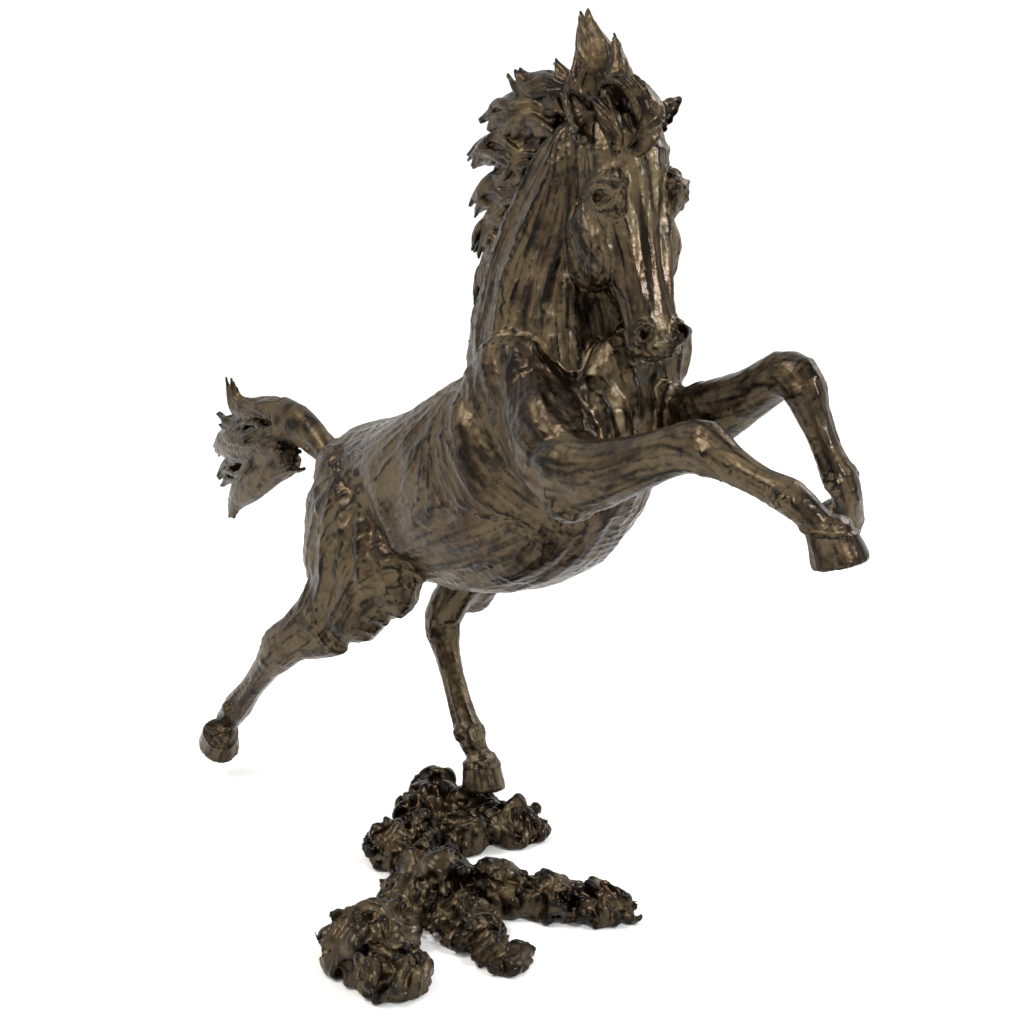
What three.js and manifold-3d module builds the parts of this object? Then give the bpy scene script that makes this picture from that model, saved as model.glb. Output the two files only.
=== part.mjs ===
// A bronze statue of a leaping horse: hollow lost-wax castings welded together round a steel
// armature, standing on one hind hoof on a base of thumb-pressed clods.
// Millimetres, +Z up, +X the way the horse heads, +Y to its left.
import * as THREE from "three";
import { mergeVertices } from "three/addons/utils/BufferGeometryUtils.js";
import Module from "manifold-3d";

const wasm = await Module();
wasm.setup();

// ---------------------------------------------------------------- driving dimensions
const WALL = 5; // thickness of the hollow castings
const WELD_GAP = 0.3; // clearance between two castings at their weld
const ROD_RADIUS = 4; // stainless armature rod in the supporting leg
const TO_ORIGIN = [-20, 88, 0]; // from the layout's origin, under the supporting leg, to the box's middle
const FAR = 2000; // size of the blocks that cut along a weld plane

const BRONZE = { color: 0x4a3d2c, roughness: 0.42, metalness: 0.85 };
const STEEL = { color: 0x9a9c9e, roughness: 0.35, metalness: 1.0 };

const LEFT = new THREE.Vector3(0, 1, 0);

// ---------------------------------------------------------------- solids from three.js geometry
function solidOf(geometry) {
  const bare = new THREE.BufferGeometry();
  bare.setAttribute("position", geometry.getAttribute("position"));
  bare.setIndex(geometry.getIndex());
  const merged = mergeVertices(bare, 1e-4);
  const vertProperties = new Float32Array(merged.attributes.position.array);
  const triVerts = new Uint32Array(merged.index.array);
  return new wasm.Manifold(new wasm.Mesh({ numProp: 3, vertProperties, triVerts }));
}

function geometryOf(solid) {
  const mesh = solid.getMesh();
  const geometry = new THREE.BufferGeometry();
  geometry.setAttribute("position", new THREE.BufferAttribute(mesh.vertProperties, 3));
  geometry.setIndex(new THREE.BufferAttribute(mesh.triVerts, 1));
  return geometry;
}

const unite = (solids) => solids.reduce((whole, next) => whole.add(next));

// A ring is an ellipse whose upper and lower halves differ; squareness under 1 fills its corners.
function roundPower(value, squareness) {
  return Math.sign(value) * Math.pow(Math.abs(value), squareness);
}

// A closed body through sections [x, y, z, wide, over, under]: a half-width to each side and the
// reach over (towards the back or the front of a limb) and under its centre line.
function loft(sections, { around = 16, along = 3, side = LEFT, squareness = 1, grow = 0 } = {}) {
  const centres = new THREE.CatmullRomCurve3(
    sections.map(([x, y, z]) => new THREE.Vector3(x, y, z)), false, "catmullrom", 0.5);
  const sizes = new THREE.CatmullRomCurve3(
    sections.map(([, , , wide, over, under]) => new THREE.Vector3(wide, over, under)),
    false, "catmullrom", 0.5);
  const rings = (sections.length - 1) * along;
  const positions = [];
  const addPoint = (point) => positions.push(point.x, point.y, point.z);
  for (let ring = 0; ring <= rings; ring++) {
    const t = ring / rings;
    const centre = centres.getPoint(t);
    const tangent = centres.getTangent(t);
    const size = sizes.getPoint(t).addScalar(grow);
    const upward = new THREE.Vector3().crossVectors(tangent, side).normalize();
    const across = new THREE.Vector3().crossVectors(upward, tangent).normalize();
    for (let spoke = 0; spoke < around; spoke++) {
      const angle = (2 * Math.PI * spoke) / around;
      const sideways = size.x * roundPower(Math.cos(angle), squareness);
      const reach = Math.sin(angle) > 0 ? size.y : size.z;
      const upwards = reach * roundPower(Math.sin(angle), squareness);
      addPoint(centre.clone().addScaledVector(across, sideways).addScaledVector(upward, upwards));
    }
  }
  const firstCap = positions.length / 3;
  addPoint(centres.getPoint(0));
  addPoint(centres.getPoint(1));
  const index = [];
  const last = rings * around;
  for (let spoke = 0; spoke < around; spoke++) {
    const next = (spoke + 1) % around;
    for (let ring = 0; ring < rings; ring++) {
      const here = ring * around;
      const beyond = here + around;
      index.push(here + spoke, here + next, beyond + next);
      index.push(here + spoke, beyond + next, beyond + spoke);
    }
    index.push(firstCap, next, spoke);
    index.push(firstCap + 1, last + spoke, last + next);
  }
  const geometry = new THREE.BufferGeometry();
  geometry.setAttribute("position", new THREE.Float32BufferAttribute(positions, 3));
  geometry.setIndex(index);
  return solidOf(geometry);
}

// An ellipsoid of muscle, bone or clay, turned by angles in degrees.
function lump([x, y, z], [rx, ry, rz], [turnX, turnY, turnZ] = [0, 0, 0], { detail = 12, grow = 0 } = {}) {
  const geometry = new THREE.SphereGeometry(1, detail, Math.round(detail / 2));
  geometry.scale(rx + grow, ry + grow, rz + grow);
  geometry.rotateX(THREE.MathUtils.degToRad(turnX));
  geometry.rotateY(THREE.MathUtils.degToRad(turnY));
  geometry.rotateZ(THREE.MathUtils.degToRad(turnZ));
  geometry.translate(x, y, z);
  return solidOf(geometry);
}

// What lies beyond a plane through a point, as a block to cut away. A weld with a `reach` cuts one
// limb only: its block is that wide, and three times as long.
function beyond({ at: [x, y, z], reach = FAR }, [nx, ny, nz]) {
  const normal = new THREE.Vector3(nx, ny, nz).normalize();
  const block = new THREE.BoxGeometry(reach, reach, Math.min(FAR, 3 * reach));
  block.translate(0, 0, Math.min(FAR, 3 * reach) / 2 - WELD_GAP / 2);
  block.applyQuaternion(new THREE.Quaternion().setFromUnitVectors(new THREE.Vector3(0, 0, 1), normal));
  block.translate(x, y, z);
  return solidOf(block);
}

const opposite = ([x, y, z]) => [-x, -y, -z];
const keepBefore = (solid, weld) => solid.subtract(beyond(weld, weld.along));
const keepAfter = (solid, weld) => solid.subtract(beyond(weld, opposite(weld.along)));

// A tube along a path, for the armature and its bore.
function tube(points, radius, steps) {
  const path = new THREE.CatmullRomCurve3(points.map(([x, y, z]) => new THREE.Vector3(x, y, z)));
  const circle = new THREE.Shape();
  circle.absarc(0, 0, radius, 0, 2 * Math.PI);
  return solidOf(new THREE.ExtrudeGeometry(circle, { steps, curveSegments: 4, extrudePath: path }));
}

// ---------------------------------------------------------------- weld planes between castings
const WELDS = {
  barrel: { at: [-15, 0, 340], along: [0.9, 0, 0.44] },
  neckBase: { at: [95, 0, 488], along: [0.1, 0, 1] },
  foreRight: { at: [252, -71, 393], along: [0.95, 0, 0.3], reach: 90 },
  foreLeft: { at: [248, 40, 421], along: [0.9, -0.05, 0.45], reach: 80 },
  kneeRight: { at: [353, -69, 426], along: [0.97, 0, -0.2] },
  kneeLeft: { at: [348, 33, 455], along: [0.62, 0, -0.78] },
  gaskinRight: { at: [-112, -76, 192], along: [-0.78, -0.2, -0.58], reach: 90 },
  gaskinLeft: { at: [-55, 44, 240], along: [-0.4, -0.16, -0.9], reach: 74 },
  hockRight: { at: [-176, -91, 148], along: [-0.72, 0, -0.69] },
  hockLeft: { at: [-82, 32, 172], along: [0.5, -0.2, -0.84] },
  tailRoot: { at: [-192, 0, 312], along: [-1, 0, 0.3] },
};

// ---------------------------------------------------------------- trunk and neck
// Sections along a centre line: x, y, z, half-width, reach over it, reach under it.
const TRUNK = [
  [-202, 0, 286, 16, 20, 24],
  [-182, 0, 283, 34, 44, 48],
  [-138, 0, 294, 56, 66, 66],
  [-80, 0, 314, 66, 64, 88],
  [-10, 0, 342, 80, 62, 112],
  [60, 0, 370, 78, 72, 120],
  [125, 2, 396, 66, 66, 106],
  [172, 3, 410, 48, 46, 78],
  [198, 4, 418, 24, 22, 40],
];
const NECK = [
  [100, 0, 392, 58, 76, 80],
  [92, 0, 455, 50, 72, 72],
  [94, 2, 515, 40, 56, 60],
  [106, 6, 562, 32, 46, 50],
  [124, 11, 602, 27, 40, 42],
  [148, 16, 624, 22, 30, 36],
];
const THIGH_RIGHT = [
  [-138, -34, 305, 34, 52, 52],
  [-112, -48, 262, 36, 74, 68],
  [-100, -58, 226, 29, 64, 66],
  [-116, -70, 197, 22, 34, 42],
  [-136, -82, 178, 18, 24, 30],
];
const THIGH_LEFT = [
  [-150, 34, 278, 34, 50, 56],
  [-98, 44, 270, 34, 50, 62],
  [-46, 48, 274, 25, 36, 48],
  [-50, 46, 244, 21, 28, 32],
  [-60, 42, 226, 19, 24, 28],
];
const UPPER_ARM_RIGHT = [
  [120, -40, 415, 28, 50, 50],
  [168, -54, 404, 30, 42, 46],
  [212, -68, 387, 28, 31, 35],
  [255, -71, 394, 23, 24, 27],
  [275, -72, 400, 21, 22, 24],
];
const UPPER_ARM_LEFT = [
  [120, 36, 412, 26, 44, 48],
  [165, 42, 402, 28, 40, 42],
  [208, 42, 406, 25, 29, 32],
  [248, 40, 424, 22, 25, 27],
  [272, 38, 436, 20, 22, 24],
];
// Muscle masses: middle, radii, turn in degrees.
const MUSCLES = [
  [[112, -44, 418], [60, 26, 60], [0, 25, 0]],
  [[108, 40, 412], [58, 24, 62], [0, 25, 0]],
  [[186, -24, 408], [28, 24, 42], [0, 0, 0]],
  [[184, 24, 410], [28, 24, 42], [0, 0, 0]],
  [[-134, -34, 308], [42, 30, 46], [0, -28, 0]],
  [[-134, 32, 306], [42, 30, 46], [0, -28, 0]],
  [[214, -72, 366], [22, 18, 20], [0, 0, 0]],
  [[-46, -53, 242], [34, 22, 36], [0, 0, 0]],
  [[172, 50, 464], [32, 31, 58], [0, 0, 0]],
  [[180, 8, 432], [27, 36, 50], [0, 0, 0]],
];

// The neck with the long muscle that swells on its left as the head turns right.
const NECK_MUSCLE = { at: [134, 38, 498], radii: [32, 28, 52] };
const neckSkin = (grow = 0) =>
  loft(NECK, { around: 16, grow }).add(lump(NECK_MUSCLE.at, NECK_MUSCLE.radii, [0, 0, 0], { grow }));

function torsoSkin(grow = 0) {
  const muscles = MUSCLES.map(([at, radii, turn]) => lump(at, radii, turn, { grow }));
  const limbs = [THIGH_RIGHT, THIGH_LEFT, UPPER_ARM_RIGHT, UPPER_ARM_LEFT].map((s) => loft(s, { around: 14, along: 2, grow }));
  const trunk = loft(TRUNK, { around: 24, squareness: 0.92, grow });
  return unite([trunk, neckSkin(grow), ...limbs, ...muscles]);
}

function buildTorso() {
  const trunkCore = loft(TRUNK, { around: 14, along: 1, squareness: 0.92, grow: -WALL });
  const neckCore = loft(NECK, { around: 10, along: 1, grow: -WALL });
  const thighCores = [THIGH_RIGHT, THIGH_LEFT].map((thigh) =>
    loft(thigh.slice(0, 3), { around: 8, along: 1, grow: -2 * WALL }));
  const hollow = torsoSkin().subtract(unite([trunkCore, neckCore, ...thighCores]));
  const rearWelds = [WELDS.barrel, WELDS.gaskinRight, WELDS.gaskinLeft, WELDS.tailRoot];
  const frontWelds = [WELDS.neckBase, WELDS.foreRight, WELDS.foreLeft];
  const neck = neckSkin().subtract(neckCore);
  return {
    body_rear: rearWelds.reduce(keepBefore, hollow),
    body_front: frontWelds.reduce(keepBefore, keepAfter(hollow, WELDS.barrel)),
    neck: keepAfter(neck, WELDS.neckBase),
  };
}

// ---------------------------------------------------------------- head, modelled upright about its eyes
const HEAD_AT = [204, 6, 587];
const HEAD_TURN = { roll: -1, pitch: -15, yaw: -16 };
const HEAD = [
  [-34, 0, 66, 18, 12, 18],
  [-26, 0, 56, 29, 26, 38],
  [-22, 0, 30, 33, 33, 50],
  [-20, 0, 0, 34, 30, 62],
  [-16, 0, -35, 27, 26, 60],
  [-10, 0, -68, 21, 22, 40],
  [-4, 0, -93, 19, 18, 26],
  [0, 0, -110, 22, 14, 22],
  [0, 0, -122, 17, 10, 18],
];
const CHEEK = { at: [-56, 21, -22], radii: [36, 15, 42] };
const BROW = { at: [-5, 31, 3], radii: [14, 9.5, 14] };
const NOSTRIL = { at: [9, 15, -105], radii: [7.5, 7, 9] };
const NOSTRIL_OPENING = { at: [14, 19, -105], radii: [7, 4, 5.5] };

function inHeadFrame(solid) {
  const { roll, pitch, yaw } = HEAD_TURN;
  const turn = new THREE.Euler(...[roll, pitch, yaw].map(THREE.MathUtils.degToRad), "ZYX");
  const matrix = new THREE.Matrix4().makeRotationFromEuler(turn).setPosition(...HEAD_AT);
  return solid.transform(matrix.elements);
}

const onBothSides = ({ at: [x, y, z], radii }, grow) =>
  [y, -y].map((side) => lump([x, side, z], radii, [0, 0, 0], { grow }));

function headSkin(grow = 0) {
  const bumps = [CHEEK, BROW, NOSTRIL].flatMap((bump) => onBothSides(bump, grow));
  return unite([loft(HEAD, { around: 16, along: 2, grow }), ...bumps]);
}

function buildHead() {
  const hollow = loft(HEAD.slice(1, -2), { around: 8, along: 1, grow: -1.5 * WALL });
  const cut = unite([hollow, ...onBothSides(NOSTRIL_OPENING, 0)]);
  return inHeadFrame(headSkin().subtract(cut)).subtract(neckSkin(WELD_GAP));
}

// An ear: a leaf-shaped cone with a hollow opening towards its front.
const EAR = [[0, 0, -8, 9, 9, 9], [0, 0, 7, 11.5, 10, 10], [1, 0, 20, 11.5, 9, 9], [3, 0, 32, 7, 6, 6],
  [5, 0, 39, 1.5, 1.5, 1.5]];
const EAR_OPENING = [[8, 0, 3, 4, 4, 4], [8, 0, 13, 8, 8, 8], [9, 0, 23, 7, 7, 7], [9, 0, 32, 2, 2, 2]];
const EAR_RIGHT = { at: [-18, -27, 48], turn: [27, 8, -20] };
const EAR_LEFT = { at: [-20, 19, 57], turn: [-48, 30, 0] };

function buildEar({ at, turn }, grow = 0) {
  const outer = loft(EAR, { around: 10, along: 2, grow });
  const leaf = grow > 0 ? outer : outer.subtract(loft(EAR_OPENING, { around: 10, along: 2 }));
  return inHeadFrame(leaf.rotate(turn).translate(at));
}

// ---------------------------------------------------------------- mane, forelock and tail
const FLAME = [
  [[146, 14, 636, 18, 44, 34], [142, 13, 664, 17, 38, 34], [142, 11, 686, 13, 20, 25], [137, 10, 708, 8, 9, 14],
    [132, 10, 726, 2.5, 2, 2.5]],
  [[168, 8, 646, 13, 11, 15], [174, 7, 664, 11, 9, 12], [172, 8, 682, 8, 5, 8], [163, 9, 702, 2, 2, 2]],
];
const FORELOCK = [[164, 4, 668, 9, 9, 9], [188, 5, 668, 11, 11, 11], [206, 9, 652, 11, 11, 12],
  [208, 8, 632, 10, 10, 11], [196, 1, 620, 8, 8, 8], [180, -9, 622, 3, 3, 3]];
const MANE = [
  [[118, 12, 646, 14, 20, 20], [94, 10, 660, 12, 16, 16], [68, 9, 662, 9, 11, 11], [46, 8, 674, 2.5, 2.5, 2.5]],
  [[98, 10, 628, 15, 22, 20], [66, 10, 640, 13, 18, 17], [34, 9, 640, 10, 13, 13], [10, 8, 628, 3, 3, 3]],
  [[84, 8, 600, 15, 20, 20], [52, 10, 612, 14, 20, 19], [16, 10, 612, 11, 15, 15], [-6, 9, 600, 3.5, 3.5, 3.5]],
  [[70, 6, 570, 14, 20, 20], [42, 10, 580, 13, 18, 18], [16, 10, 578, 10, 14, 14], [-4, 10, 566, 3, 3, 3]],
  [[56, 4, 540, 14, 20, 18], [34, 8, 546, 12, 17, 17], [14, 9, 542, 9, 12, 12], [2, 9, 528, 2.5, 2.5, 2.5]],
  [[42, 2, 510, 12, 18, 18], [26, 5, 514, 10, 14, 14], [12, 7, 504, 7, 9, 9], [8, 7, 486, 2, 2, 2]],
];
const TAIL_DOCK = [[-184, 0, 308, 17, 15, 15], [-214, 0, 316, 15, 13, 13], [-240, 0, 332, 14, 14, 16],
  [-268, 0, 338, 17, 20, 24], [-296, 0, 334, 20, 26, 34]];
const TAIL_PLUMES = {
  upper: [[-286, 2, 342, 18, 16, 18], [-322, 3, 344, 17, 15, 18], [-358, 2, 336, 14, 14, 17], [-384, 0, 342, 10, 12, 12],
    [-395, -1, 368, 2.5, 2.5, 2.5]],
  middle: [[-286, -4, 318, 18, 18, 18], [-330, -5, 308, 18, 21, 22], [-374, -4, 302, 16, 24, 24],
    [-412, 0, 298, 11, 18, 18], [-436, 2, 284, 3, 3, 3]],
  lower: [[-280, -2, 304, 16, 13, 15], [-318, -4, 284, 16, 17, 19], [-356, -3, 264, 15, 19, 19],
    [-388, 0, 246, 11, 16, 15], [-404, 0, 218, 3, 3, 3]],
};
const lock = (sections, grow = 0) => loft(sections, { around: 8, along: 2, grow });
const flame = (grow = 0) => unite(FLAME.map((sections) => lock(sections, grow)));

// ---------------------------------------------------------------- legs
const LEGS = {
  foreleg_right: {
    welds: [WELDS.foreRight, WELDS.kneeRight],
    upper: [[230, -70, 389, 24, 26, 30], [262, -72, 397, 21, 23, 25], [300, -72, 412, 17, 18, 20],
      [332, -70, 423, 17, 19, 18], [352, -69, 426, 17, 20, 20], [366, -68, 423, 15, 16, 17]],
    lower: [[338, -70, 426, 17, 19, 18], [356, -69, 425, 16, 18, 20], [374, -68, 419, 12, 13, 14],
      [402, -65, 410, 10.5, 10, 12], [424, -63, 404, 12.5, 12, 14], [437, -59, 394, 11, 11, 12],
      [446, -53, 384, 12, 12, 12]],
    hoof: { at: [450, -50, 360], turn: [0, 0, 30], tall: 0.85 },
  },
  foreleg_left: {
    welds: [WELDS.foreLeft, WELDS.kneeLeft],
    upper: [[228, 41, 413, 23, 27, 28], [260, 40, 428, 21, 23, 25], [296, 37, 446, 17, 19, 19],
      [324, 34, 462, 17, 18, 17], [344, 33, 462, 16, 18, 17], [352, 33, 448, 14, 16, 16]],
    lower: [[334, 33, 466, 16, 17, 16], [348, 33, 456, 16, 18, 18], [357, 34, 438, 12, 13, 14],
      [370, 36, 414, 10.5, 10, 11], [382, 38, 394, 12.5, 12, 14], [384, 44, 380, 11, 11, 11],
      [378, 52, 366, 12, 11, 11]],
    hoof: { at: [352, 54, 352], turn: [0, 64, 0], tall: 0.9 },
  },
  hindleg_right: {
    welds: [WELDS.gaskinRight, WELDS.hockRight],
    upper: [[-96, -66, 212, 24, 50, 56], [-122, -76, 186, 20, 32, 38], [-148, -87, 170, 16, 21, 25],
      [-168, -91, 156, 16, 20, 24], [-184, -92, 142, 14, 17, 18]],
    lower: [[-158, -90, 163, 15, 19, 22], [-176, -91, 148, 15, 18, 21], [-196, -92, 129, 11.5, 13, 14],
      [-225, -93, 100, 10.5, 11, 12], [-248, -93, 78, 13, 13, 14], [-258, -93, 68, 12, 12, 12],
      [-268, -94, 58, 12, 12, 12]],
    hoof: { at: [-284, -98, 34], turn: [20, 48, 12], tall: 0.9 },
  },
  hindleg_left: {
    welds: [WELDS.gaskinLeft, WELDS.hockLeft],
    upper: [[-48, 46, 252, 21, 28, 34], [-56, 43, 232, 18, 24, 28], [-72, 36, 202, 15, 18, 22],
      [-84, 32, 180, 15, 19, 23], [-80, 31, 164, 14, 17, 17]],
    lower: [[-86, 33, 184, 15, 18, 21], [-82, 31, 168, 14.5, 17, 18], [-68, 26, 148, 11, 12, 13],
      [-42, 17, 118, 10, 11, 11], [-16, 9, 94, 12.5, 13, 13], [-10, 11, 80, 11, 11, 11], [-6, 13, 70, 12, 12, 12]],
    hoof: { at: [-2, 12, 44], turn: [0, 0, -18], tall: 0.9 },
  },
};
const HOOF = [[-4, 0, 33, 14, 12, 12], [-1, 0, 28, 17, 16, 16], [2, 0, 15, 18, 17, 20], [5, 0, 0, 20, 18, 24]];

// The hoof's sections run down to its sole, so its front is the reach over the centre line.
function hoof({ at, turn, tall }) {
  const sections = HOOF.map(([x, y, z, wide, back, front]) => [x, y, z * tall, wide, front, back]);
  return loft(sections, { around: 12, along: 1 }).rotate(turn).translate(at);
}

function buildLegs() {
  const legs = {};
  for (const [name, leg] of Object.entries(LEGS)) {
    const [top, middle] = leg.welds;
    const wholeTop = { ...top, reach: FAR };
    legs[`${name}_upper`] = keepBefore(keepAfter(loft(leg.upper, { around: 12, along: 2 }), wholeTop), middle);
    legs[`${name}_lower`] = keepAfter(loft(leg.lower, { around: 12, along: 2 }).add(hoof(leg.hoof)), middle);
  }
  return legs;
}

// ---------------------------------------------------------------- base of pressed clods
// Each clod: x, y, z of its middle, its three radii, and a turn about the vertical.
const BASE = {
  base_hoof_rock: [[-6, 6, 14, 42, 34, 29, -20], [-44, -10, 30, 24, 24, 28, 10], [-28, -40, 22, 24, 22, 28, 0],
    [12, -26, 10, 30, 26, 26, 30]],
  base_right_lobe: [[30, 26, 12, 26, 18, 26, 40], [40, 40, 10, 15, 13, 16, 40]],
  base_left_lobe: [[0, -92, 16, 26, 24, 26, 0], [2, -66, 14, 26, 24, 28, 0]],
  base_neck: [[52, -96, 12, 34, 24, 24, -10]],
  base_ridge: [[86, -100, 16, 34, 28, 30, -20], [128, -78, 14, 34, 26, 28, 30], [100, -142, 14, 26, 22, 26, 0]],
  base_right_arm: [[166, -50, 12, 32, 22, 26, 35], [196, -24, 10, 26, 22, 24, 30]],
  base_tongue: [[152, -124, 10, 40, 30, 24, -40], [206, -134, 6, 30, 24, 16, -10]],
  base_front_clod: [[142, -222, 16, 38, 36, 36, 20], [182, -222, 10, 34, 32, 30, 0], [128, -188, 14, 26, 26, 28, 0]],
};
const GROUND = { at: [0, 0, 0], along: [0, 0, -1] };

function clods(list, grow = 0) {
  return unite(list.map(([x, y, z, rx, ry, rz, turn]) =>
    lump([x, y, z], [rx, ry, rz], [0, 0, turn], { detail: 10, grow })));
}

// ---------------------------------------------------------------- armature
const ROD_PATH = [[-2, 10, 4], [-2, 10, 40], [-12, 10, 84], [-42, 17, 118], [-68, 27, 150], [-78, 33, 176],
  [-68, 38, 206], [-52, 43, 240], [-50, 36, 268], [-50, 24, 292]];
const ROD_FOOT = [-2, 10];
const NUT = { across: 9, from: 9, to: 16 }; // corner radius and heights of the nut under the base
const WASHER = { radius: 13, from: 16.3, to: 18.3 };
const POCKET = { radius: 15, to: 18.6 };

function drum([x, y], radius, from, to, sides = 16) {
  const cylinder = new THREE.CylinderGeometry(radius, radius, to - from, sides);
  cylinder.rotateX(Math.PI / 2);
  cylinder.translate(x, y, (from + to) / 2);
  return solidOf(cylinder);
}

// ---------------------------------------------------------------- assembly
// The statue is laid out about its horse, then moved so that the origin is under the middle of its box.
const statue = new THREE.Group();
function place(solids, finish) {
  for (const [name, solid] of Object.entries(solids)) {
    const mesh = new THREE.Mesh(geometryOf(solid.translate(TO_ORIGIN)), new THREE.MeshStandardMaterial(finish));
    mesh.name = name;
    statue.add(mesh);
  }
}

const rod = tube(ROD_PATH, ROD_RADIUS, 16);
const bore = tube(ROD_PATH, ROD_RADIUS + 2 * WELD_GAP, 16).add(drum(ROD_FOOT, ROD_RADIUS + 2 * WELD_GAP, -5, 12));
const washer = drum(ROD_FOOT, WASHER.radius, WASHER.from, WASHER.to);
const nut = drum(ROD_FOOT, NUT.across, NUT.from, NUT.to, 6);
const pocket = drum(ROD_FOOT, POCKET.radius, -5, POCKET.to);

const torso = buildTorso();
const legs = buildLegs();
const bronze = {
  ...torso,
  ...legs,
  head: buildHead(),
};
for (const name of ["body_rear", "hindleg_left_upper", "hindleg_left_lower"]) {
  bronze[name] = bronze[name].subtract(bore);
}

// Locks, ears, tail and base are fitted one after another, each cut back from those before it.
let fitted = torsoSkin(WELD_GAP).add(inHeadFrame(headSkin(WELD_GAP)));
function fit(name, shape) {
  bronze[name] = shape(0).subtract(fitted);
  fitted = fitted.add(shape(WELD_GAP));
}
fit("ear_right", (grow) => buildEar(EAR_RIGHT, grow));
fit("ear_left", (grow) => buildEar(EAR_LEFT, grow));
fit("poll_flame", flame);
fit("forelock", (grow) => lock(FORELOCK, grow));
MANE.forEach((sections, i) => fit(`mane_lock_${i + 1}`, (grow) => lock(sections, grow)));

fitted = torsoSkin(WELD_GAP);
bronze.tail_dock = keepAfter(loft(TAIL_DOCK), WELDS.tailRoot);
fitted = loft(TAIL_DOCK, { grow: WELD_GAP });
for (const [where, sections] of Object.entries(TAIL_PLUMES)) {
  fit(`tail_plume_${where}`, (grow) => loft(sections, { around: 8, along: 2, grow }));
}

const hoofGap = hoof({ ...LEGS.hindleg_left.hoof, tall: 0.9 }).translate([0, 0, -WELD_GAP]);
fitted = loft(LEGS.hindleg_left.lower, { around: 12, along: 2, grow: WELD_GAP }).add(hoofGap);
for (const [name, list] of Object.entries(BASE)) {
  fit(name, (grow) => clods(list, grow));
  bronze[name] = keepBefore(bronze[name], GROUND);
}
bronze.base_hoof_rock = bronze.base_hoof_rock.subtract(bore).subtract(pocket);

place(bronze, BRONZE);
place({ support_rod: rod, rod_washer: washer.subtract(bore), rod_nut: nut.subtract(bore) }, STEEL);

export default statue;
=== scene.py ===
# A cast bronze horse, sculpted in voxels over the frame's castings, with its studio.
import math

import bpy
import numpy as np
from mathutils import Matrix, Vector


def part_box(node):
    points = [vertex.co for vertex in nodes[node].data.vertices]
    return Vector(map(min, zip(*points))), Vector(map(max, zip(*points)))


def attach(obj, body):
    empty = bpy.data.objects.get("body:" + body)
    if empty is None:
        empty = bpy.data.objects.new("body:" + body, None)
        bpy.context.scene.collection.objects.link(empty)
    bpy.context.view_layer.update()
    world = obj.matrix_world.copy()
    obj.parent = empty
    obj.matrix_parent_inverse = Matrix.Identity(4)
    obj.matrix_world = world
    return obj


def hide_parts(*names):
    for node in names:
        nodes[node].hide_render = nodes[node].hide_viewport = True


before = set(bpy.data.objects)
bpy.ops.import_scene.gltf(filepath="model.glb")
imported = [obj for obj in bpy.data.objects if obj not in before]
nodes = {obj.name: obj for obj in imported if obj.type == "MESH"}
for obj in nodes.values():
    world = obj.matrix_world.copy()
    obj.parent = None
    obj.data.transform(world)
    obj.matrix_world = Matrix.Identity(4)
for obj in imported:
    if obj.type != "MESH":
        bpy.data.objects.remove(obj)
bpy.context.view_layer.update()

import openvdb as vdb
from mathutils import Matrix, Vector
from mathutils.bvhtree import BVHTree

MM = 0.001
BAND = 5  # voxels of true distance kept on each side of the clay's skin


def cad_meshes(names):
    """The CAD nodes' points, in millimetres, their triangles, and the node that each triangle is from."""
    points, triangles, owner, count = [], [], [], 0
    for index, name in enumerate(names):
        mesh = nodes[name].data
        mesh.calc_loop_triangles()
        co = np.empty(len(mesh.vertices) * 3, np.float32)
        mesh.vertices.foreach_get("co", co)
        tri = np.empty(len(mesh.loop_triangles) * 3, np.int32)
        mesh.loop_triangles.foreach_get("vertices", tri)
        points.append(co.reshape(-1, 3) / MM)
        triangles.append(tri.reshape(-1, 3) + count)
        owner += [index] * len(mesh.loop_triangles)
        count += len(mesh.vertices)
    return np.concatenate(points), np.concatenate(triangles), owner


def shown(name, data):
    """A new object, linked into the scene."""
    thing = bpy.data.objects.new(name, data)
    bpy.context.scene.collection.objects.link(thing)
    return thing


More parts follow.
